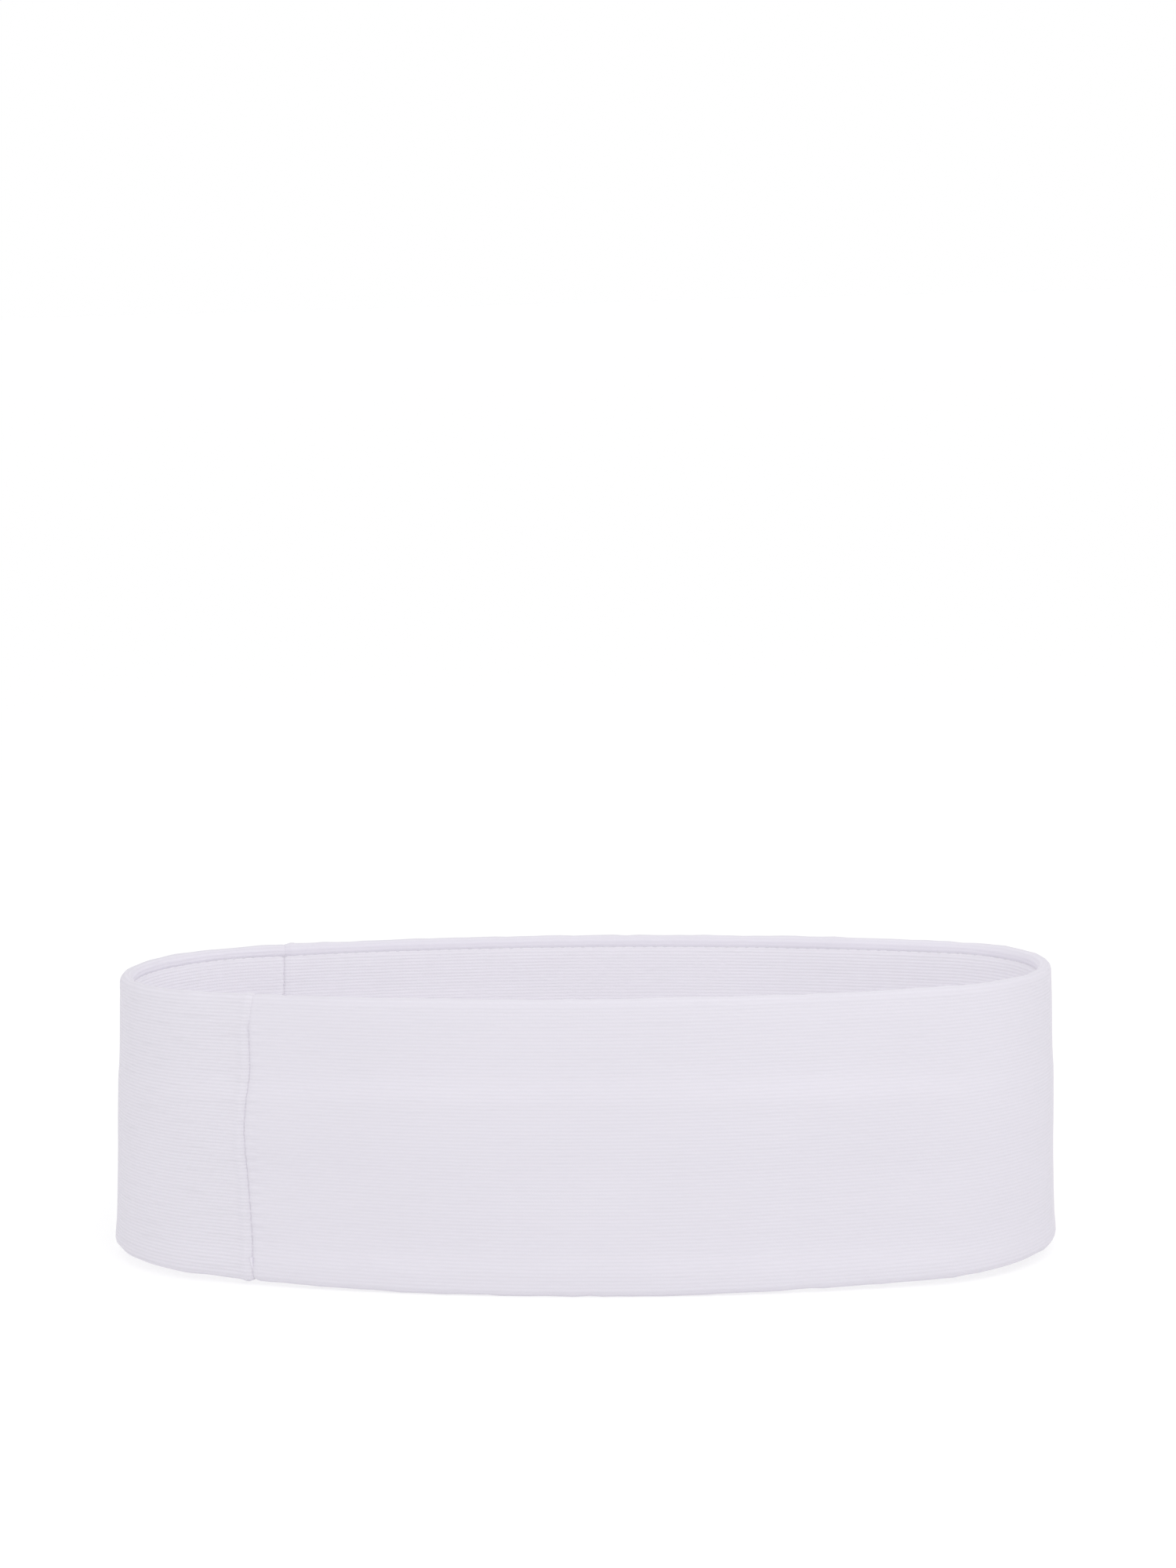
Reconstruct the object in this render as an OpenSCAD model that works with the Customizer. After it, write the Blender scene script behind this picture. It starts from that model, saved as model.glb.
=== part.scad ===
// Wide double-layer knitted sports headband, standing on its lower edge.
// A long panel and a short end panel are joined by two upright seams, in the
// face layer and again in the lining. Along both edges the face layer rolls
// over to the inside and meets the lining at an edge seam.
// Millimetres, +Z up, origin at the middle of the base.

/* [Band] */
// outside length at the top edge
band_length = 214; // [190:1:240]
// outside depth at the top edge
band_depth = 90.4; // [82:0.2:100]
// height of the band
band_height = 64.8; // [45:0.2:80]
// outside radius of the two bends
bend_radius = 34.3; // [28:0.1:38]
// how far the lower edge stands out past the top edge
flare = 1.8; // [0:0.1:3]

/* [Cloth] */
// thickness of the band across its rolled edges
band_t = 3.0; // [2.8:0.1:3.6]
// thickness of the face layer
face_t = 1.0; // [0.8:0.05:1.1]
// thickness of the lining
lining_t = 0.9; // [0.6:0.05:0.9]
// depth of the soft lengthwise hollows in the face
hollow = 0.5; // [0:0.05:0.5]

/* [Edges] */
// height of the rolled edge above the edge seam
roll_h = 2.4; // [2.2:0.1:5]
// depth of the edge allowance turned in behind the lining
hem = 5.0; // [2:0.5:8]
// diameter of the edge seam thread
edge_thread_d = 0.6; // [0.4:0.05:0.6]

/* [Upright seams] */
// front seam, distance along the band from the start of the bend
front_seam = 14.5; // [7:0.5:60]
// rear seam, distance along the band from the start of the bend
rear_seam = 6.5; // [6.5:0.5:60]
// width of the seam allowance folded back behind the face
allowance = 5.0; // [3:0.5:6]
// gap between the two joined edges
seam_gap = 0.5; // [0.46:0.02:0.7]
// distance from stitch to stitch
stitch_pitch = 2.5; // [2:0.1:4]
// diameter of the crossing stitches
stitch_d = 0.36; // [0.3:0.02:0.4]

/* [Hidden] */
$fn = 64;

A = band_length / 2;
B = band_depth / 2;
r_end = bend_radius;
// long, nearly straight sides: arcs that meet the bends smoothly
r_side = ((A - r_end) * (A - r_end) + B * B - r_end * r_end) / (2 * (B - r_end));
side_y = r_side - B;
bend_x = A - r_end;
phi = atan2(bend_x, side_y);
a_front = phi - front_seam / r_side * 180 / PI;
a_rear = phi - rear_seam / r_side * 180 / PI;
half_gap = seam_gap / 2 / r_side * 180 / PI;
a_allow = allowance / r_side * 180 / PI;
a_short = 0.3 / r_side * 180 / PI;
lean = atan(flare / band_height);

edge_r = band_t / 2;
foot_drop = 0.2;
thread_gap = edge_thread_d + 0.1;
lining_n = -band_t + lining_t;
hem_n = lining_n + 0.05;
hem_t = 0.5;
fill_n = lining_n + 0.15;
face_step = 3.2;
face_low = 2.4;
face_steps = round((band_height - 2 * face_low) / face_step);
needle_clear = 0.02;
sleeve_len = 0.4;
grow = 0.02;
strand_d = seam_gap - 0.1;
stitch_reach = 1.3;
stitch_margin = 4;
stitches = floor((band_height - 2 * stitch_margin) / stitch_pitch);

cloth = [0.88, 0.87, 0.91];
cloth_in = [0.85, 0.84, 0.88];
thread_c = [0.80, 0.79, 0.84];

// outward shift of the flared band at height z
function shift(z) = flare * (1 - z / band_height);
function bell(u, at, w) = exp(-pow((u - at) / w, 2));
// outside of the face: two soft ridges with a hollow between them
function face_n(z) = let (u = 1 - z / band_height)
    -hollow * (bell(u, 0.55, 0.14) + 0.35 * bell(u, 0.10, 0.06));
function face_z(i) = face_low + i * (band_height - 2 * face_low) / face_steps;
function lean_out(pts) = [for (p = pts) [p[0] + shift(p[1]), p[1]]];

function top_roll(g) = [for (a = [0:20:180])
    [-edge_r + (edge_r + g) * cos(a), band_height - edge_r + (edge_r + g) * sin(a)]];
function foot_roll(g) = [for (a = [180:20:360])
    [-edge_r + (edge_r + g) * cos(a), max(0, edge_r - foot_drop + (edge_r + g) * sin(a))]];

// one edge's lip and turned-in allowance, as depth in from that edge
function lip(g) = [
    [-band_t - g, roll_h - 0.4], [-band_t + 0.12 - g, roll_h - 0.12 + g],
    [-band_t + 0.4 - g, roll_h + g], [hem_n - g, roll_h + g],
    [hem_n - g, roll_h + hem + g], [hem_n + hem_t + g, roll_h + hem + g],
    [hem_n + hem_t + g, edge_r + 0.2 + g]];

function outer_face(g) = [for (i = [0:face_steps]) [face_n(face_z(i)) + g, face_z(i)]];
function inner_face(g) = [for (i = [face_steps:-1:0])
    [face_n(face_z(i)) - face_t - g, face_z(i)]];

function upward(l) = [for (p = l) [p[0], band_height - p[1]]];
function reversed(l) = [for (i = [len(l) - 1:-1:0]) l[i]];

// g grows a section slightly, for the short sleeves that join two arcs
module outer_section(g = 0) {
    polygon(lean_out(concat(outer_face(g), top_roll(g), upward(lip(g)),
                            inner_face(g), reversed(lip(g)), foot_roll(g))));
}

// seam allowance lying folded back between the face layer and the lining
module allowance_section() {
    lo = roll_h - 0.5;
    polygon(lean_out([[fill_n, lo], [fill_n + 1.15, lo],
        [fill_n + 1.15, band_height - lo], [fill_n, band_height - lo]]));
}

module lining_section(g = 0) {
    lo = roll_h + thread_gap;
    hi = band_height - lo;
    polygon(lean_out([
        [-band_t - g, lo + 0.3], [-band_t + 0.3 - g, lo - g], [lining_n + g, lo - g],
        [lining_n + g, hi + g], [-band_t + 0.3 - g, hi + g], [-band_t - g, hi - 0.3]]));
}

module edge_thread_section(z, g = 0) {
    translate([-band_t + edge_thread_d / 2 + 0.05 + shift(z), z])
        circle(d = edge_thread_d + 2 * g, $fn = 32);
}

// sweeps a section (outside face at x = 0) about one of the four arc centres
module sweep(cx, cy, r, a0, a1) {
    translate([cx, cy, 0]) rotate([0, 0, a0])
        rotate_extrude(angle = a1 - a0) translate([r, 0]) children();
}
module front_arc(a0, a1) { sweep(0, side_y, r_side, 270 + a0, 270 + a1) children(); }
module back_arc(a0, a1) { sweep(0, -side_y, r_side, 90 + a0, 90 + a1) children(); }
module right_bend() { sweep(bend_x, 0, r_end, phi - 90, 90 - phi) children(); }
module left_bend() { sweep(-bend_x, 0, r_end, 90 + phi, 270 - phi) children(); }

// short straight sleeves over the places where a bend meets the long sides
module sleeve(cx, a) {
    translate([cx, 0, 0]) rotate([0, 0, a]) translate([r_end, 0, 0])
        rotate([90, 0, 0]) linear_extrude(sleeve_len, center = true) children();
}
module right_sleeves() { for (a = [phi - 90, 90 - phi]) sleeve(bend_x, a) children(); }
module left_sleeves() { for (a = [90 + phi, 270 - phi]) sleeve(-bend_x, a) children(); }

// local frames at the two upright seams: x outward, y along the band
module at_front_seam() {
    translate([0, side_y, 0]) rotate([0, 0, 270 - a_front])
        translate([r_side, 0, 0]) children();
}
module at_rear_seam() {
    translate([0, -side_y, 0]) rotate([0, 0, 90 + a_rear])
        translate([r_side, 0, 0]) children();
}

// a straight upright line that leans with the flare, at depth n
module upright(n) {
    translate([flare + n, 0, 0]) rotate([0, -lean, 0]) children();
}

// bevel that rounds off the two joined edges
module seam_bevel() {
    upright(0.4) rotate([0, 0, 45]) translate([0, 0, band_height / 2])
        cube([2, 2, band_height + 10], center = true);
}

// row of crossing stitches, or of needle holes with some clearance
module stitch_row(n, clear) {
    upright(n) for (i = [0:stitches])
        translate([0, 0, (band_height - stitches * stitch_pitch) / 2 + i * stitch_pitch])
            rotate([90, 0, 0])
                cylinder(d = stitch_d + 2 * clear, h = 2 * stitch_reach + 4 * clear,
                         center = true, $fn = 24);
}
module seam_thread(n, margin) {
    stitch_row(n, 0);
    upright(n) translate([0, 0, margin])
        cylinder(d = strand_d, h = band_height - 2 * margin, $fn = 24);
}
outer_stitch_n = -1.35;
lining_stitch_n = -band_t + lining_t / 2;

module outer_seams() {
    at_front_seam() { seam_bevel(); stitch_row(outer_stitch_n, needle_clear); }
    at_rear_seam() { seam_bevel(); stitch_row(outer_stitch_n, needle_clear); }
}
module lining_seams() {
    at_front_seam() stitch_row(lining_stitch_n, needle_clear);
    at_rear_seam() stitch_row(lining_stitch_n, needle_clear);
}
a_main_front = half_gap - a_front;
a_main_rear = a_rear - half_gap;
a_side_front = -a_front - half_gap;
a_side_rear = a_rear + half_gap;

module main_outer() {
    color(cloth) difference() {
        union() {
            front_arc(a_main_front, phi) outer_section();
            right_bend() outer_section();
            back_arc(-phi, a_main_rear) outer_section();
            right_sleeves() outer_section(grow);
            front_arc(a_main_front + a_short, a_main_front + a_allow) allowance_section();
            back_arc(a_main_rear - a_allow, a_main_rear - a_short) allowance_section();
        }
        outer_seams();
    }
}

module side_outer() {
    color(cloth) difference() {
        union() {
            back_arc(a_side_rear, phi) outer_section();
            left_bend() outer_section();
            front_arc(-phi, a_side_front) outer_section();
            left_sleeves() outer_section(grow);
            back_arc(a_side_rear + a_short, a_side_rear + a_allow) allowance_section();
            front_arc(a_side_front - a_allow, a_side_front - a_short) allowance_section();
        }
        outer_seams();
    }
}

module main_lining() {
    color(cloth_in) difference() {
        union() {
            front_arc(a_main_front, phi) lining_section();
            right_bend() lining_section();
            back_arc(-phi, a_main_rear) lining_section();
            right_sleeves() lining_section(grow);
        }
        lining_seams();
    }
}

module side_lining() {
    color(cloth_in) difference() {
        union() {
            back_arc(a_side_rear, phi) lining_section();
            left_bend() lining_section();
            front_arc(-phi, a_side_front) lining_section();
            left_sleeves() lining_section(grow);
        }
        lining_seams();
    }
}

module edge_thread(z) {
    color(thread_c) {
        front_arc(-phi, phi) edge_thread_section(z);
        right_bend() edge_thread_section(z);
        back_arc(-phi, phi) edge_thread_section(z);
        left_bend() edge_thread_section(z);
        right_sleeves() edge_thread_section(z, grow);
        left_sleeves() edge_thread_section(z, grow);
    }
}
module top_edge_thread() { edge_thread(band_height - roll_h - thread_gap / 2); }
module bottom_edge_thread() { edge_thread(roll_h + thread_gap / 2); }

module front_outer_thread() {
    color(thread_c) at_front_seam() seam_thread(outer_stitch_n, stitch_margin / 2);
}
module rear_outer_thread() {
    color(thread_c) at_rear_seam() seam_thread(outer_stitch_n, stitch_margin / 2);
}
module front_lining_thread() {
    color(thread_c) at_front_seam() seam_thread(lining_stitch_n, roll_h + thread_gap + 0.2);
}
module rear_lining_thread() {
    color(thread_c) at_rear_seam() seam_thread(lining_stitch_n, roll_h + thread_gap + 0.2);
}

main_outer();
side_outer();
main_lining();
side_lining();
top_edge_thread();
bottom_edge_thread();
front_outer_thread();
rear_outer_thread();
front_lining_thread();
rear_lining_thread();
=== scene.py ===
# %% [markdown]
# # A wide sports headband
# The real thing is cut from a fine ribbed knit and sewn: a long panel and a short end panel
# make the face, two more make the lining, and the face rolls over both edges to meet the
# lining inside. This lesson builds it the way a maker does: cut each panel flat, bend it
# round the head oval, sink its ends into the upright seams, then lay in the stitching.

# %% Load the fixed frame
import math

import bmesh
import bpy
import numpy as np
from mathutils import Matrix, Vector


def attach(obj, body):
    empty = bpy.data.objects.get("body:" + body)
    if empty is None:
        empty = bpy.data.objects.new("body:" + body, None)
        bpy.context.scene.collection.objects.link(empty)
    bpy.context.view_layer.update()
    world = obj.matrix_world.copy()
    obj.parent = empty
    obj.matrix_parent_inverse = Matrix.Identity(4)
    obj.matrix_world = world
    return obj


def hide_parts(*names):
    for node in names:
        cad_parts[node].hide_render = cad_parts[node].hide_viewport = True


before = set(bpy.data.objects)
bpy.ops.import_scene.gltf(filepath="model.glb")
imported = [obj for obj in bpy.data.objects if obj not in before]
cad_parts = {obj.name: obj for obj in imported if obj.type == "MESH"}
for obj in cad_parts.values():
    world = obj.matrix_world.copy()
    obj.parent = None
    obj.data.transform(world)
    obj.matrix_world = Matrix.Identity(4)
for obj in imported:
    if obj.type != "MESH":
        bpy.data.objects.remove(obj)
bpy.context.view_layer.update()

# %% [markdown]
# ## The camera
# A long lens looks slightly down on the band from a little right of its middle. Working
# from the direction it looks along, its right and its up keep every turn in plain sight.
# The camera comes first so each later step can be judged in the final view.

# %% Camera
MM = 0.001
turn, pitch, roll = 0.1316, 0.1294, 0.0265
forward = Vector((-math.sin(turn) * math.cos(pitch), math.cos(turn) * math.cos(pitch), -math.sin(pitch)))
right = Vector((math.cos(turn), math.sin(turn), 0))
up = right.cross(forward)
cam_right = right * math.cos(roll) - up * math.sin(roll)
cam_up = right * math.sin(roll) + up * math.cos(roll)
eye = Vector((118.9, -877.0, 222.9)) * MM
camera = bpy.data.objects.new("camera", bpy.data.cameras.new("camera"))
camera.data.lens, camera.data.sensor_width = 90, 36
camera.data.clip_start, camera.data.clip_end = 0.05, 100
camera.matrix_world = Matrix((
    (cam_right.x, cam_up.x, -forward.x, eye.x),
    (cam_right.y, cam_up.y, -forward.y, eye.y),
    (cam_right.z, cam_up.z, -forward.z, eye.z),
    (0, 0, 0, 1)))
bpy.context.scene.collection.objects.link(camera)
bpy.context.scene.camera = camera
print("camera distance in metres:", round(eye.length, 3))

# %% [markdown]
# ## The oval the band stands in
# Let go, a headband springs into a flat oval: two long gentle arcs joined by two tight
# bends. Measuring along that oval, like a tape round the band, gives every panel, seam and
# stitch one plain address: how far round, how far out, how high.

# %% Oval: distance round the band to a place on it
HALF_LENGTH, HALF_DEPTH, BEND_R, HEIGHT = 107.0, 45.2, 34.3, 64.8
SIDE_R = ((HALF_LENGTH - BEND_R) ** 2 + HALF_DEPTH**2 - BEND_R**2) / (2 * (HALF_DEPTH - BEND_R))
BEND_X, SIDE_Y = HALF_LENGTH - BEND_R, SIDE_R - HALF_DEPTH
PHI = math.atan2(BEND_X, SIDE_Y)
SIDE_ARC, BEND_ARC = PHI * SIDE_R, (math.pi / 2 - PHI) * BEND_R
ROUND = 4 * (SIDE_ARC + BEND_ARC)


def oval(s):
    """Places and outward directions on the oval, s millimetres from the front's middle."""
    s = np.mod(s + ROUND / 4, ROUND) - ROUND / 4
    back = s > ROUND / 4
    t = np.where(back, s - ROUND / 2, s)
    side = np.abs(t) <= SIDE_ARC
    turned = PHI + (np.abs(t) - SIDE_ARC) / BEND_R
    angle = np.where(side, t / SIDE_R, np.sign(t) * turned)
    nx, ny = np.sin(angle), -np.cos(angle)
    x = np.where(side, SIDE_R * nx, np.sign(t) * BEND_X + BEND_R * nx)
    y = np.where(side, SIDE_Y + SIDE_R * ny, BEND_R * ny)
    flip = np.where(back, -1.0, 1.0)
    return x * flip, y * flip, nx * flip, ny * flip


print("round the band:", round(ROUND, 1), "mm")

# %% [markdown]
# ## How the whole band sits
# Nothing sewn is geometrically perfect. The lower edge stands a touch wider than the upper
# one, leans a little, and lifts slightly at the two bends. All of that is one small function,
# so every layer and every stitch shares the same sway and nothing comes apart.

# %% From band address to space
LOWER_WIDER, LEAN_X, STAND = 0.0197, -1.62, 1.06


def on_band(s, out, z):
    """Band address (round, out, up) in millimetres to a point in metres."""
    x, y, nx, ny = oval(s)
    low = 1 - z / HEIGHT
    px = x * (1 + LOWER_WIDER * low) + nx * out + LEAN_X * low
    py = y * (1 + LOWER_WIDER * low) + ny * out
    across, along = y / HALF_DEPTH, x / HALF_LENGTH
    upper = -0.43 * across + 0.30 * along
    lower = 1.06 * across + 1.87 * along**2
    pz = z + STAND + upper * (1 - low) + lower * low
    return np.stack([px, py, pz], axis=-1) * MM


def waves(s, v, seed, length=40.0, height=1.0):
    """Smooth, repeatable unevenness made of a few slow sine waves."""
    rng = np.random.default_rng(seed)
    total = np.zeros(np.broadcast(s, v).shape)
    for _ in range(6):
        a, b = rng.uniform(0.5, 1.6) / length, rng.uniform(-0.8, 0.8) / length
        total = total + np.sin(2 * np.pi * (a * s + b * v) + rng.uniform(0, 6.28))
    return height * total / 3


# %% [markdown]
# ## The folded edge, seen end on
# Cut through the face layer and it is a long C: up the outside, over the top in a plump
# roll, a few millimetres down the inside, then turned in behind the lining. A short list of
# turning points, rounded where the cloth rolls, gives that path by length, so a flat panel
# can be fed along it without stretching.

# %% Section paths
CLOTH, BAND_T, ROLL_H = 0.9, 3.0, 2.4


def rolled_path():
    """Middle of the face layer from its lower turned-in edge to its upper one."""
    c, r = BAND_T / 2, (BAND_T - CLOTH) / 2
    turns = np.linspace(0, np.pi, 25)
    top = [(-c + r * math.cos(a), HEIGHT - c + r * math.sin(a)) for a in turns]
    lip = [(-c - r, HEIGHT - ROLL_H + 0.30), (-c - r + 0.03, HEIGHT - ROLL_H - 0.05),
           (-c - r + 0.15, HEIGHT - ROLL_H - 0.30), (-1.83, HEIGHT - ROLL_H - 0.52),
           (-1.53, HEIGHT - ROLL_H - 0.95), (-1.48, HEIGHT - ROLL_H - 3.0)]
    upper = top + lip
    lower = [(n, HEIGHT - z) for n, z in reversed(upper)]
    return np.array(lower + upper)


def lining_path():
    """Middle of the lining, its edges dipping in behind the rolled lips."""
    n, z0 = -(BAND_T - CLOTH / 2) + 0.04, ROLL_H + 0.28
    low = [(n + 0.10, z0), (n + 0.05, z0 + 0.12), (n + 0.02, z0 + 0.36), (n, z0 + 0.9)]
    return np.array(low + [(a, HEIGHT - b) for a, b in reversed(low)])


def walk(path, v):
    """Points and outward directions at lengths v along a section path, its corners rounded."""
    step = np.hypot(*np.diff(path, axis=0).T)
    run = np.concatenate([[0], np.cumsum(step)])
    fine = np.linspace(0, run[-1], 2000)
    n, z = np.interp(fine, run, path[:, 0]), np.interp(fine, run, path[:, 1])
    kernel = np.hanning(15) / np.hanning(15).sum()
    soft = [np.convolve(np.pad(a, 7, mode="reflect", reflect_type="odd"), kernel, "valid") for a in (n, z)]
    dn, dz = np.gradient(soft[0], fine), np.gradient(soft[1], fine)
    size = np.hypot(dn, dz)
    at_v = [np.interp(v, fine, values) for values in (soft[0], soft[1], dz / size, -dn / size)]
    return *at_v, run[-1]


FACE_WIDTH = walk(rolled_path(), np.zeros(1))[4]
LINING_WIDTH = walk(lining_path(), np.zeros(1))[4]
print("cut widths:", round(FACE_WIDTH, 1), "and", round(LINING_WIDTH, 1), "mm")

# %% [markdown]
# ## Bending a flat panel into place
# Each panel starts as a flat grid of the size it is cut to. Near an upright seam the cloth
# rounds over and goes straight in between the layers, and the pull of each stitch leaves a
# little pucker. Columns are packed close at the seams, where those shapes are small, and
# spread out where the cloth is calm. The flat size is kept as a UV map in metres, so the
# knit follows the cloth wherever it goes.

# %% Panel helpers
TURN_IN = 1.1  # how far each end goes in at an upright seam
SQUEEZED = 0.5  # how much of its thickness cloth keeps where it is sewn
PLUMP_AT = 1.6  # how far from the seam it is back to full thickness
PRESSED = 0.12  # how far the two sewn ends press into each other, each side
SEAM_GAP = CLOTH * SQUEEZED / 2 - PRESSED
FRONT_IN, REAR_IN = 14.5, 6.5  # how far before the left bend each upright seam lies
SEAM_FRONT = -(SIDE_ARC - FRONT_IN)
SEAM_REAR = ROUND / 2 + (SIDE_ARC - REAR_IN)
PITCH = 2.6  # from stitch to stitch up a seam


def wander(z):
    """How far the face's upright seams stray along the band as they climb."""
    return np.interp(z, [0, 3, 8, 13, 21, 28, 35, 43, 48, 58, 65],
                     [0.9, 0.5, 0.0, -0.4, -1.0, -1.5, -1.7, -0.9, -0.8, -1.1, -0.3])


def spread(count_end, count_mid, length, fine=11.0):
    """Column places along a panel: close together at both ends."""
    count = count_end * 2 + count_mid
    t = np.linspace(0, 1, count + 1)
    return np.interp(t, [0, count_end / count, 1 - count_end / count, 1], [0, fine, length - fine, length])


def into_seam(c, radius):
    """Cloth length c from its sunk end: distance from the seam and depth below the face."""
    c = c - TURN_IN
    arc = radius * math.pi / 2
    a = np.clip(c / radius, 0, math.pi / 2)
    away = np.where(c > arc, radius + c - arc, radius * (1 - np.cos(a)))
    depth = np.where(c < 0, radius - c, radius * (1 - np.sin(a)))
    return away, -depth


def flat_panel(name, columns, rows):
    """A flat grid whose UV map holds the cut's own millimetres, in metres."""
    bm = bmesh.new()
    bmesh.ops.create_grid(bm, x_segments=len(columns) - 1, y_segments=len(rows) - 1, size=0.5)
    uv = bm.loops.layers.uv.new("cut")
    xs, ys = np.linspace(-0.5, 0.5, len(columns)), np.linspace(-0.5, 0.5, len(rows))
    for v in bm.verts:
        v.co = (np.interp(v.co.x, xs, columns), np.interp(v.co.y, ys, rows), 0)
    for f in bm.faces:
        f.smooth = True
        for loop in f.loops:
            loop[uv].uv = (loop.vert.co.x * MM, loop.vert.co.y * MM)
    mesh = bpy.data.meshes.new(name)
    bm.to_mesh(mesh)
    bm.free()
    piece = bpy.data.objects.new(name, mesh)
    bpy.context.scene.collection.objects.link(piece)
    return piece


def bend(piece, shape):
    """Moves a flat panel's points to where shape says, noting which are loose, not sewn."""
    mesh = piece.data
    co = np.empty(len(mesh.vertices) * 3)
    mesh.vertices.foreach_get("co", co)
    co = co.reshape(-1, 3)
    along = co[:, 0]
    loose = piece.vertex_groups.new(name="loose")
    for column in np.unique(along):
        from_seam = min(column, along.max() - column) - TURN_IN
        share = float(np.clip(from_seam / PLUMP_AT, 0, 1))
        loose.add(np.flatnonzero(along == column).tolist(), share, "REPLACE")
    mesh.vertices.foreach_set("co", shape(along, co[:, 1]).ravel())
    mesh.update()


def thicken(piece):
    """Gives a panel its thickness, half to each side, squeezed where it is sewn."""
    solid = piece.modifiers.new("cloth thickness", "SOLIDIFY")
    solid.thickness, solid.offset, solid.use_even_offset = CLOTH * MM, 0, False
    solid.vertex_group, solid.thickness_vertex_group = "loose", SQUEEZED
    solid.use_rim = True


# %% [markdown]
# ## The face: soft ridges, rolled lips and puckers
# The knit relaxes into two broad lengthwise swells with a shallow valley between, dips a
# hair just below the rolled edge, and puckers beside each seam. The double layer is sewn
# taut, with no loose cloth to fall, so there is nothing for a cloth simulation to settle.
# Each of these shapes is a small push in or out, added up and applied along the cloth's own
# outward direction, which is how a sculptor would nudge it.

# %% Face panels
TILTS = np.array([  # depth below the top edge, how far the cloth tips up there
    (0.00, 0.0), (0.04, 0.4), (0.08, -0.4), (0.20, -0.2), (0.25, 0.4), (0.29, 2.2), (0.32, 2.0),
    (0.355, -0.3), (0.45, -0.3), (0.55, -1.0), (0.62, -0.3), (0.70, 0.0), (0.80, 0.0), (0.85, 0.8),
    (0.88, 2.4), (0.91, 2.2), (0.935, 0.3), (1.0, 0.0)])
TILT = 0.12
tilt_at = np.linspace(0, 1, 200)
tilt_run = np.cumsum(np.interp(tilt_at, *TILTS.T)) / 200 * TILT * HEIGHT
tilt_run = tilt_run - np.interp(tilt_at, [0, 1], [tilt_run[0], tilt_run[-1]])
print("swells reach out and in by", tilt_run.max().round(2), tilt_run.min().round(2), "mm")


def swells(z, s):
    """The face's long ridges and hollows, calmer at the bends and gone at the edges."""
    turned = np.abs(oval(s)[0]) / HALF_LENGTH
    low = 1 - z / HEIGHT - 0.05 * turned**2
    calm = 1 - 0.8 * np.clip((turned - 0.7) / 0.25, 0, 1)
    on_face = np.clip(np.minimum(z, HEIGHT - z) / 5, 0, 1)
    wave = np.interp(low, tilt_at, tilt_run) * (1 + waves(s, 0 * s, 3, 120, 0.2))
    return wave * calm * on_face


def puckers(away, z, seed, height):
    """Short dimples that run away from a seam at each stitch."""
    drift = waves(z, 0 * z, seed, 17, 0.55)
    each = 0.5 + 0.5 * np.cos(2 * np.pi * (z + drift) / PITCH)
    strength = 1 + waves(z, 0 * z, seed + 1, 23, 0.5)
    reach = np.exp(-(((away - 1.5) / 1.5) ** 2))
    return height * strength * (each - 0.5) * reach


LAP = 0.45  # how far the panels lap over each other where the rim closes the seam
RIM_SEAM, RIM_BLEND = 8.0, 3.0  # the lap reaches down this far, and comes in over this much
TUCKED = 4.2  # width of the strip hidden behind the lining, which swells and puckers leave alone
DEEPEST = -1.55  # no point of the face goes further in than this


def face_shape(start, span, length, radius_a, radius_b, pucker_a, pucker_b, seed):
    """Where a flat face panel goes. End a laps under its neighbour at the rim, end b over it."""
    path = rolled_path()

    def shape(c, v):
        n, z, out_n, out_z, _ = walk(path, v)
        away_a, sink_a = into_seam(c, radius_a)
        away_b, sink_b = into_seam(length - c, radius_b)
        near_a = c < length / 2
        away, sink = np.where(near_a, away_a, away_b), np.where(near_a, sink_a, sink_b)

        rim = np.clip((z - (HEIGHT - RIM_SEAM)) / RIM_BLEND, 0, 1)
        rim = rim * rim * (3 - 2 * rim)
        from_end = SEAM_GAP + away - LAP * rim
        s = np.where(near_a, start + from_end, start + span - from_end)
        s = s + wander(z) * np.exp(-((away / 14) ** 2))

        lip = np.where(near_a, 0.10 * np.exp(-(((away - 1.0) / 0.7) ** 2)),
                       0.32 * np.exp(-(((away - 1.6) / 1.1) ** 2)))
        push = sink + lip + swells(z, s) + waves(s, z, seed, 34, 0.10)
        push = push + rim * LAP * np.where(near_a, -0.1 * np.exp(-((away / 1.2) ** 2)),
                                           0.55 * np.exp(-(away**2)))
        push = push + (1 - 0.8 * rim) * np.where(near_a, puckers(away, z, seed + 5, pucker_a),
                                                 puckers(away, z, seed + 9, pucker_b))
        edge = np.exp(-(np.minimum(z, HEIGHT - z) / 3.0) ** 2)
        push = push + edge * waves(s, 0 * s, seed + 2, 11, 0.10)
        tucked = np.clip(np.abs(v - FACE_WIDTH / 2) - (FACE_WIDTH / 2 - TUCKED), 0, 1)
        push = np.where(sink < -0.02, push, push * (1 - tucked))
        push = np.maximum(push, DEEPEST)
        return on_band(s, n + push * out_n, z + push * out_z)

    return shape


def cut_length(distance, radius_a, radius_b):
    """Cloth needed to span a distance between two seams, with both ends turned in."""
    return distance + 2 * TURN_IN - (radius_a + radius_b) * (1 - math.pi / 2) - 2 * SEAM_GAP


MAIN_SPAN = SEAM_REAR - SEAM_FRONT
SIDE_SPAN = ROUND - MAIN_SPAN
face_rows = np.linspace(0, FACE_WIDTH, 161)

MAIN_CUT = cut_length(MAIN_SPAN, 0.2, 0.2)
main_face = flat_panel("main_face_panel", spread(42, 120, MAIN_CUT), face_rows)
bend(main_face, face_shape(SEAM_FRONT, MAIN_SPAN, MAIN_CUT, 0.2, 0.2, 0.30, 0.2, 11))
thicken(main_face)

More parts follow.
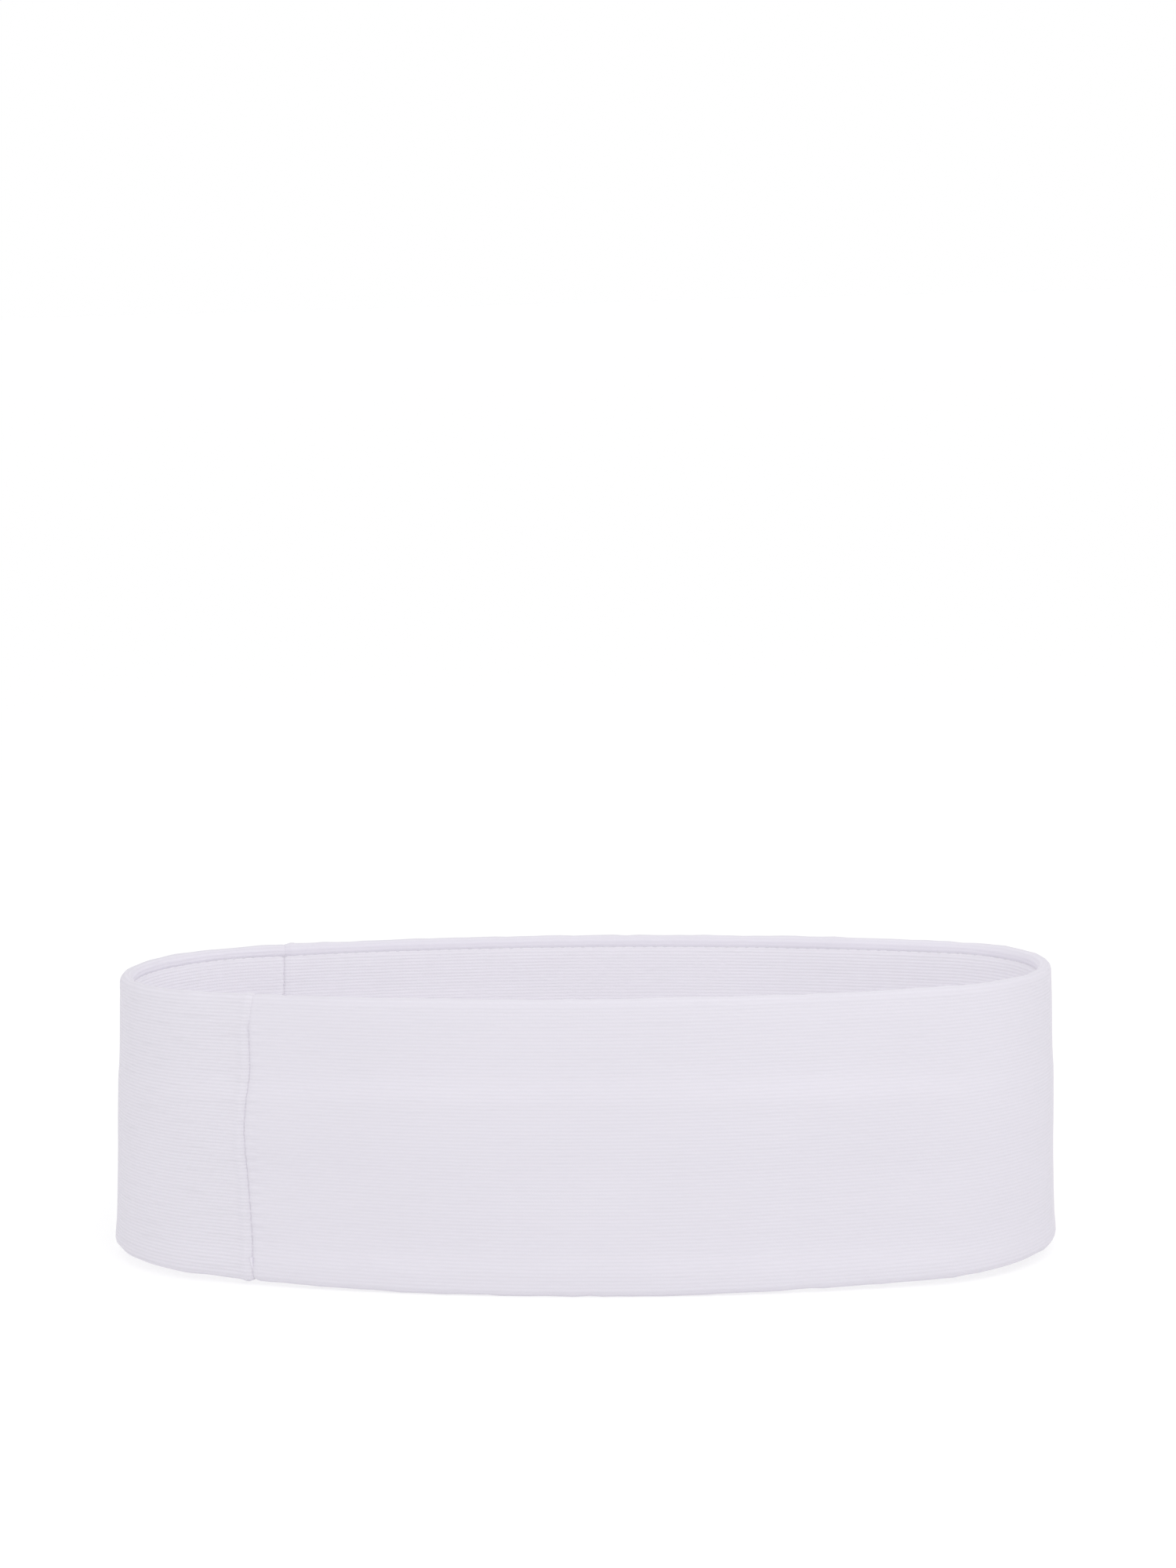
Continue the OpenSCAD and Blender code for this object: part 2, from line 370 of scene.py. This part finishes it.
SIDE_CUT = cut_length(SIDE_SPAN, 0.2, 0.25)
side_face = flat_panel("side_face_panel", spread(42, 60, SIDE_CUT), face_rows)
bend(side_face, face_shape(SEAM_REAR, SIDE_SPAN, SIDE_CUT, 0.2, 0.25, 0.2, 0.12, 31))
thicken(side_face)
print("face panels cut", round(MAIN_CUT, 1), "and", round(SIDE_CUT, 1), "mm long")

# %% [markdown]
# ## The lining
# The lining is the same knit, cut narrower. It lies flat against the inside, its long edges
# ducking behind the rolled lips, and its two ends meet in upright seams just behind the
# face's. It needs only gentle unevenness, because it is pulled smooth over the turned-in
# cloth behind it, and it makes way where the face swells furthest in.

# %% Lining panels
LINING_R = 0.1  # radius at which the lining turns into its upright seams
LINING_SINK = 0.5  # how deep its turned ends go
LINING_ROOM = 0.5  # how far the face may swell in before the lining makes way


def lining_shape(start, span, length, seed):
    """Where a flat lining panel goes."""
    path = lining_path()

    def shape(c, v):
        n, z, out_n, out_z, _ = walk(path, v)
        away_a, sink_a = into_seam(c, LINING_R)
        away_b, sink_b = into_seam(length - c, LINING_R)
        near_a = c < length / 2
        away = np.where(near_a, away_a, away_b)
        s = np.where(near_a, start + SEAM_GAP + away, start + span - SEAM_GAP - away)
        sink = -np.maximum(np.where(near_a, sink_a, sink_b), -LINING_SINK)
        push = sink - 0.05 * np.exp(-(((away - 1.2) / 1.0) ** 2)) - puckers(away, z, seed + 5, 0.10)
        push = push + waves(s, z, seed, 30, 0.10)
        push = push + 0.20 * np.sin(2 * np.pi * (1 - z / HEIGHT - 0.2) / 0.7)
        push = push + np.minimum(swells(z, s) + LINING_ROOM, 0)
        calm = np.clip(np.minimum(z, HEIGHT - z) - ROLL_H, 0, 3) / 3
        push = np.where(sink > 0.02, push, push * calm)
        return on_band(s, n + push * out_n, z + push * out_z)

    return shape


lining_rows = np.linspace(0, LINING_WIDTH, 101)
MAIN_LINING_CUT = cut_length(MAIN_SPAN, LINING_R, LINING_R)
main_lining = flat_panel("main_lining_panel", spread(30, 110, MAIN_LINING_CUT), lining_rows)
bend(main_lining, lining_shape(SEAM_FRONT, MAIN_SPAN, MAIN_LINING_CUT, 51))
thicken(main_lining)

SIDE_LINING_CUT = cut_length(SIDE_SPAN, LINING_R, LINING_R)
side_lining = flat_panel("side_lining_panel", spread(30, 60, SIDE_LINING_CUT), lining_rows)
bend(side_lining, lining_shape(SEAM_REAR, SIDE_SPAN, SIDE_LINING_CUT, 71))
thicken(side_lining)
print("lining panels cut", round(MAIN_LINING_CUT, 1), "and", round(SIDE_LINING_CUT, 1), "mm long")

# %% [markdown]
# ## Stitches
# A sewn stitch shows as a short arch of thread that rises from one needle hole and dives
# into the next. Half a turn of a tiny ring makes that arch, squashed flat as the machine's
# tension does. One arch of a few dozen faces is then laid again and again along each seam.

# %% One stitch and a row of them
THREAD = 0.34
EDGE_STEP, EDGE_REACH, EDGE_DEPTH = 2.5, 3.3, -2.06  # the stitches that run along the edge seams
GROOVE = ROLL_H + 0.26  # from each rim to its edge seam
CROSS_REACH, SLANT = 1.5, 0.25  # the stitches that cross the upright seams
FACE_DEPTH, LINING_DEPTH = -0.62, -2.46


def stitch_arch(length, thread):
    """Half a thread ring, lying along X and bulging along Z, in millimetres."""
    bm = bmesh.new()
    ring = bmesh.ops.create_circle(bm, segments=6, radius=thread / 2)
    bmesh.ops.translate(bm, verts=ring["verts"], vec=(length / 2, 0, 0))
    edges = list({e for v in ring["verts"] for e in v.link_edges})
    bmesh.ops.spin(bm, geom=ring["verts"] + edges, cent=(0, 0, 0), axis=(0, -1, 0),
                   angle=math.pi, steps=6, use_merge=False, use_normal_flip=False)
    bmesh.ops.scale(bm, verts=bm.verts, vec=(1, 1, 0.5))
    bmesh.ops.recalc_face_normals(bm, faces=bm.faces)
    for f in bm.faces:
        f.smooth = True
    mesh = bpy.data.meshes.new("stitch")
    bm.to_mesh(mesh)
    bm.free()
    return mesh


def sew(name, stitch, places):
    """Copies one stitch to every place: (middle, along, outward) in metres."""
    bm = bmesh.new()
    for middle, along, outward in places:
        along, outward = Vector(along).normalized(), Vector(outward).normalized()
        side = outward.cross(along).normalized()
        outward = along.cross(side)
        turn_to = Matrix((along, side, outward)).transposed().to_4x4()
        have = len(bm.verts)
        bm.from_mesh(stitch)
        bm.verts.ensure_lookup_table()
        fresh = bm.verts[have:]
        bmesh.ops.scale(bm, verts=fresh, vec=(MM, MM, MM))
        bmesh.ops.transform(bm, verts=fresh, matrix=Matrix.Translation(middle) @ turn_to)
    mesh = bpy.data.meshes.new(name)
    bm.to_mesh(mesh)
    bm.free()
    piece = bpy.data.objects.new(name, mesh)
    bpy.context.scene.collection.objects.link(piece)
    return piece


def edge_row(z):
    """Stitch places all the way round an edge seam, in the groove inside."""
    count = round(ROUND / EDGE_STEP)
    s = np.arange(count) * ROUND / count
    here, ahead = on_band(s, EDGE_DEPTH, z), on_band(s + 1, EDGE_DEPTH, z)
    inner = on_band(s, EDGE_DEPTH - 1, z)
    return [(Vector(a), Vector(b - a), Vector(c - a)) for a, b, c in zip(here, ahead, inner)]


def upright_row(s, low, high, inside):
    """Stitch places up an upright seam, crossing it. The face's follow its stray and swells."""
    z = np.arange(low, high, PITCH)
    s = s if inside else s + wander(z)
    depth = LINING_DEPTH if inside else FACE_DEPTH + swells(z, s)
    here, ahead = on_band(s, depth, z), on_band(s + 1, depth, z + SLANT)
    bulge = on_band(s, depth + (-1 if inside else 1), z)
    return [(Vector(a), Vector(b - a), Vector(c - a)) for a, b, c in zip(here, ahead, bulge)]


edge_stitch, cross_stitch = stitch_arch(EDGE_REACH, THREAD), stitch_arch(CROSS_REACH, THREAD)


def sew_edge(name, z):
    return sew(name, edge_stitch, edge_row(z))


def sew_face_seam(name, s):
    return sew(name, cross_stitch, upright_row(s, 2.6, HEIGHT - 7, inside=False))


def sew_lining_seam(name, s):
    return sew(name, cross_stitch, upright_row(s, 5.5, HEIGHT - 5, inside=True))


top_edge_stitches = sew_edge("top_edge_stitches", HEIGHT - GROOVE)
bottom_edge_stitches = sew_edge("bottom_edge_stitches", GROOVE)
front_stitches = sew_face_seam("front_seam_stitches", SEAM_FRONT)
rear_stitches = sew_face_seam("rear_seam_stitches", SEAM_REAR)
front_lining_stitches = sew_lining_seam("front_lining_stitches", SEAM_FRONT)
rear_lining_stitches = sew_lining_seam("rear_lining_stitches", SEAM_REAR)
print("stitches round each edge:", round(ROUND / EDGE_STEP))

# %% [markdown]
# ## The knit, as one shared effect
# Up close the cloth is rows of tiny loops running round the band, about three quarters of a
# millimetre apart, with neighbouring rows slanting opposite ways. The same effect serves
# every panel, so it is one node group that reads the cut's own UV map. It only gives out a
# height and masks; each cloth decides how deep to make them, how much painted shade to lay
# in the valleys between the rows, and how dark the flecks are.

# %% Node helpers and the knit group
def nodes_of(tree):
    """Short calls for adding a node and a math step to a tree."""
    def add(kind, **values):
        node = tree.nodes.new(kind)
        for key, value in values.items():
            setattr(node, key, value)
        return node

    def calc(operation, a, b=None, c=None):
        node = add("ShaderNodeMath", operation=operation)
        for slot, value in zip(node.inputs, (a, b, c)):
            if value is None:
                continue
            if isinstance(value, (int, float)):
                slot.default_value = value
            else:
                tree.links.new(value, slot)
        return node.outputs[0]

    return add, calc


def knit_group():
    tree = bpy.data.node_groups.new("Ribbed knit", "ShaderNodeTree")
    face = tree.interface
    for name, value in (("Row pitch", 0.00078), ("Loop length", 0.0007), ("Waver", 0.05)):
        face.new_socket(name, in_out="INPUT", socket_type="NodeSocketFloat").default_value = value
    for name in ("Height", "Valley", "Fleck", "Patch"):
        face.new_socket(name, in_out="OUTPUT", socket_type="NodeSocketFloat")
    add, calc = nodes_of(tree)
    link = tree.links.new
    put_in, put_out = add("NodeGroupInput"), add("NodeGroupOutput")
    cut = add("ShaderNodeUVMap", uv_map="cut")
    axes = add("ShaderNodeSeparateXYZ")
    link(cut.outputs[0], axes.inputs[0])

    def noise(sx, sy, scale, detail):
        stretch = add("ShaderNodeMapping")
        stretch.inputs["Scale"].default_value = (sx, sy, 1)
        tex = add("ShaderNodeTexNoise")
        tex.inputs["Scale"].default_value, tex.inputs["Detail"].default_value = scale, detail
        link(cut.outputs[0], stretch.inputs[0])
        link(stretch.outputs[0], tex.inputs["Vector"])
        return tex.outputs[0]

    waver = calc("MULTIPLY", calc("SUBTRACT", noise(1, 2.5, 160, 2), 0.5), put_in.outputs["Waver"])
    row = calc("DIVIDE", axes.outputs[1], put_in.outputs["Row pitch"])
    row = calc("ADD", row, calc("MULTIPLY", waver, 6))
    rib = calc("MULTIPLY_ADD", calc("COSINE", calc("MULTIPLY", row, 2 * math.pi)), 0.5, 0.5)
    rib = calc("POWER", rib, 0.7)
    parity = calc("PINGPONG", calc("FLOOR", calc("ADD", row, 0.5)), 1)
    sign = calc("MULTIPLY_ADD", parity, 2, -1)
    within = calc("SUBTRACT", calc("FRACT", calc("ADD", row, 0.5)), 0.5)
    along = calc("DIVIDE", axes.outputs[0], put_in.outputs["Loop length"])
    slanted = calc("ADD", along, calc("MULTIPLY", calc("MULTIPLY", within, sign), 0.9))
    loop = calc("MULTIPLY_ADD", calc("COSINE", calc("MULTIPLY", slanted, 2 * math.pi)), 0.5, 0.5)
    fuzz = noise(1, 1, 5200, 3)
    body = calc("MULTIPLY", rib, calc("MULTIPLY_ADD", loop, 0.20, 0.80))
    link(calc("MULTIPLY_ADD", fuzz, 0.22, body), put_out.inputs["Height"])
    link(calc("SUBTRACT", 1.0, body), put_out.inputs["Valley"])
    streak = noise(0.07, 1.0, 1300, 2)
    streak = calc("MULTIPLY", calc("MAXIMUM", calc("SUBTRACT", streak, 0.55), 0), 7)
    link(calc("SMOOTH_MIN", streak, 1, 0.1), put_out.inputs["Fleck"])
    link(noise(1, 2.2, 28, 3), put_out.inputs["Patch"])
    return tree


KNIT = knit_group()
print("knit group outputs:", [s.name for s in KNIT.interface.items_tree if s.in_out == "OUTPUT"])

# %% [markdown]
# ## The cloths
# All the panels are the same cool white yarn, matt, with a faint haze of loose fibre that
# catches light along the turned edges. The strips turned over the edges look a shade
# lighter than the rest on the real thing, so the face cloths get a small lift in tone there,
# a painted highlight in place of light the lamps don't bring to the inner lips. The short
# panel shows its rows more plainly. It and the lining get lighter tones than the long face
# panel, painted light that makes up for the shade at the left bend and inside the band, and
# the valleys between the rows are darkened in colour as painted shade. So each cloth gets
# its own depth and tone.

# %% Cloth and thread materials
# Painted highlight: the turned strips get a lighter tone from the cut's edge in to this reach, fading over
# the blend.
LIP_HIGHLIGHT_STRIP, LIP_HIGHLIGHT_BLEND = 6.2 * MM, 1.6 * MM  # of the cut's edge, and how softly it ends


def painted_lip_highlight(tree, shade, amount):
    """Paints a highlight on the strips turned over the edges: a lighter tone in place of light the lamps
    don't bring there.
    """
    add, calc = nodes_of(tree)
    cut, axes = add("ShaderNodeUVMap", uv_map="cut"), add("ShaderNodeSeparateXYZ")
    tree.links.new(cut.outputs[0], axes.inputs[0])
    across = calc("MINIMUM", axes.outputs[1], calc("SUBTRACT", FACE_WIDTH * MM, axes.outputs[1]))
    turned = calc("DIVIDE", calc("SUBTRACT", LIP_HIGHLIGHT_STRIP, across), LIP_HIGHLIGHT_BLEND)
    return calc("MULTIPLY_ADD", calc("MINIMUM", calc("MAXIMUM", turned, 0), 1), amount, shade)


def cloth(name, tone, rib_depth, valley_painted_shade, fleck, lip=0):
    mat = bpy.data.materials.new(name)
    mat.use_nodes = True
    tree = mat.node_tree
    add, calc = nodes_of(tree)
    link = tree.links.new
    shader = tree.nodes["Principled BSDF"]
    knit = add("ShaderNodeGroup", node_tree=KNIT)
    # Painted shade: the valleys between the rows are darkened in colour, on top of their bump.
    shade = calc("MULTIPLY_ADD", knit.outputs["Valley"], -valley_painted_shade, 1.0)
    shade = calc("MULTIPLY_ADD", knit.outputs["Fleck"], -fleck, shade)
    shade = calc("ADD", shade, calc("MULTIPLY_ADD", knit.outputs["Patch"], 0.03, -0.015))
    # Painted highlight: a lighter tone on the turned lips, in place of light the lamps don't bring there.
    if lip:
        shade = painted_lip_highlight(tree, shade, lip)
    colour = add("ShaderNodeMix", data_type="RGBA", blend_type="MULTIPLY")
    colour.inputs["Factor"].default_value = 1
    colour.inputs["A"].default_value = (*tone, 1)
    grey = add("ShaderNodeCombineColor")
    for slot in grey.inputs:
        link(shade, slot)
    link(grey.outputs[0], colour.inputs["B"])
    link(colour.outputs["Result"], shader.inputs["Base Color"])
    bump = add("ShaderNodeBump")
    bump.inputs["Strength"].default_value = 1
    bump.inputs["Distance"].default_value = rib_depth * MM
    link(knit.outputs["Height"], bump.inputs["Height"])
    link(bump.outputs[0], shader.inputs["Normal"])
    rough = calc("MULTIPLY_ADD", knit.outputs["Valley"], 0.08, 0.84)
    link(rough, shader.inputs["Roughness"])
    shader.inputs["Specular IOR Level"].default_value = 0.22
    shader.inputs["Sheen Weight"].default_value = 0.18
    shader.inputs["Sheen Roughness"].default_value = 0.45
    shader.inputs["Sheen Tint"].default_value = (0.97, 0.96, 1.0, 1)
    return mat


# Painted light: the short panel and lining are the same yarn as the long panel but get lighter tones to
# make up for the shade at the left bend and inside the band; lip= is the painted highlight on the turned
# strips.
face_knit = cloth("Face knit", (0.698, 0.676, 0.737), 0.045, 0.03, 0.015, lip=0.12)
side_knit_painted_lighter = cloth("Side knit", (0.712, 0.690, 0.751), 0.075, 0.05, 0.035, lip=0.12)
lining_knit_painted_lighter = cloth("Lining knit", (0.815, 0.793, 0.849), 0.06, 0.035, 0.02)


def spun_thread(name, tone):
    mat = bpy.data.materials.new(name)
    mat.use_nodes = True
    tree = mat.node_tree
    add, calc = nodes_of(tree)
    link = tree.links.new
    shader = tree.nodes["Principled BSDF"]
    place = add("ShaderNodeTexCoord")
    twist = add("ShaderNodeTexNoise")
    twist.inputs["Scale"].default_value = 6000
    link(place.outputs["Object"], twist.inputs["Vector"])
    colour = add("ShaderNodeMix", data_type="RGBA")
    colour.inputs["A"].default_value = (*[c * 0.9 for c in tone], 1)
    colour.inputs["B"].default_value = (*tone, 1)
    link(twist.outputs[0], colour.inputs["Factor"])
    link(colour.outputs["Result"], shader.inputs["Base Color"])
    bump = add("ShaderNodeBump")
    bump.inputs["Distance"].default_value = 0.05 * MM
    link(twist.outputs[0], bump.inputs["Height"])
    link(bump.outputs[0], shader.inputs["Normal"])
    shader.inputs["Roughness"].default_value = 0.62
    shader.inputs["Sheen Weight"].default_value = 0.1
    return mat


thread_white = spun_thread("Spun thread", (0.74, 0.715, 0.78))

for piece, mat in ((main_face, face_knit), (side_face, side_knit_painted_lighter), (main_lining, lining_knit_painted_lighter),
                   (side_lining, lining_knit_painted_lighter), (top_edge_stitches, thread_white),
                   (bottom_edge_stitches, thread_white), (front_stitches, thread_white),
                   (rear_stitches, thread_white), (front_lining_stitches, thread_white),
                   (rear_lining_stitches, thread_white)):
    piece.data.materials.append(mat)
print("materials:", [m.name for m in bpy.data.materials])

# %% [markdown]
# ## Each piece takes its node's place
# Every soft piece stands in for one rigid node of the frame and rides with it.

# %% Ride and replace
for piece, node, slot_name in (
        (main_face, "main_outer", "face_cloth"), (side_face, "side_outer", "side_cloth"),
        (main_lining, "main_lining", "lining_cloth"), (side_lining, "side_lining", "lining_cloth"),
        (top_edge_stitches, "top_edge_thread", "thread"),
        (bottom_edge_stitches, "bottom_edge_thread", "thread"),
        (front_stitches, "front_outer_thread", "thread"), (rear_stitches, "rear_outer_thread", "thread"),
        (front_lining_stitches, "front_lining_thread", "thread"),
        (rear_lining_stitches, "rear_lining_thread", "thread")):
    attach(piece, "root")
    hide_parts(node)

# %% [markdown]
# ## Floor and light
# White cloth on white needs light from all round, or the inside goes grey. A bright plain
# world does most of the work. The floor is a wide disc that glows softly, like the lit table
# small goods are shown on, so it stays white and lights the lower edge. Three soft lights
# shape the cloth: one high in front for the rolled edge and the swells, a weaker one from
# the left for the short panel, and one from the right that reaches down into the opening.

# %% Floor
bm = bmesh.new()
bmesh.ops.create_circle(bm, cap_ends=True, segments=96, radius=30)
floor_mesh = bpy.data.meshes.new("floor")
bm.to_mesh(floor_mesh)
bm.free()
floor = bpy.data.objects.new("floor", floor_mesh)
bpy.context.scene.collection.objects.link(floor)
floor_mat = bpy.data.materials.new("Pale floor")
floor_mat.use_nodes = True
floor_look = floor_mat.node_tree.nodes["Principled BSDF"].inputs
floor_look["Base Color"].default_value = (0.47, 0.47, 0.47, 1)
floor_look["Roughness"].default_value = 0.9
floor_look["Specular IOR Level"].default_value = 0.1
floor_look["Emission Color"].default_value = (1, 1, 1, 1)
floor_look["Emission Strength"].default_value = 0.55
floor_mesh.materials.append(floor_mat)

# %% World and lights
LIFT = 0.94  # how bright the world is for the cloth; the camera sees it plain white
world = bpy.data.worlds.new("studio")
bpy.context.scene.world = world
world.use_nodes = True
sky, sky_calc = nodes_of(world.node_tree)
sky_link = world.node_tree.links.new
glow = world.node_tree.nodes["Background"]
glow.inputs["Color"].default_value = (1, 1, 1, 1)
way, rise = sky("ShaderNodeTexCoord"), sky("ShaderNodeSeparateXYZ")
dome, seen, plain = sky("ShaderNodeValToRGB"), sky("ShaderNodeLightPath"), sky("ShaderNodeMix")
sky_link(way.outputs["Generated"], rise.inputs[0])
sky_link(rise.outputs["Z"], dome.inputs[0])
stops = dome.color_ramp.elements
stops[0].position, stops[1].position = 0.0, 1.0
stops[0].color, stops[1].color = (0.80, 0.80, 0.80, 1), (1.0, 1.0, 1.0, 1)
for height, bright in ((0.10, 0.85), (0.35, 0.95), (0.60, 1.0)):
    stops.new(height).color = (bright, bright, bright, 1)
sky_link(seen.outputs["Is Camera Ray"], plain.inputs["Factor"])
sky_link(sky_calc("MULTIPLY", dome.outputs[0], LIFT), plain.inputs["A"])
plain.inputs["B"].default_value = 1.0
sky_link(plain.outputs["Result"], glow.inputs["Strength"])


def soft_light(name, place, target, size, power):
    """A square area light at a place, turned towards a target."""
    data = bpy.data.lights.new(name, "AREA")
    data.shape, data.size, data.energy = "SQUARE", size, power
    lamp = bpy.data.objects.new(name, data)
    lamp.location = place
    lamp.rotation_mode = "QUATERNION"
    lamp.rotation_quaternion = (Vector(target) - Vector(place)).to_track_quat("-Z", "Y")
    bpy.context.scene.collection.objects.link(lamp)


soft_light("key, high in front", (0.13, -0.5, 0.45), (0.04, -0.04, 0.03), 0.4, 0.9)
soft_light("left fill", (-0.9, -0.25, 0.30), (0, 0, 0.03), 0.6, 0.56)
soft_light("right, into the opening", (0.6, -0.1, 0.6), (-0.05, 0, 0.06), 0.4, 0.5)
bpy.context.scene.view_settings.view_transform = "Standard"
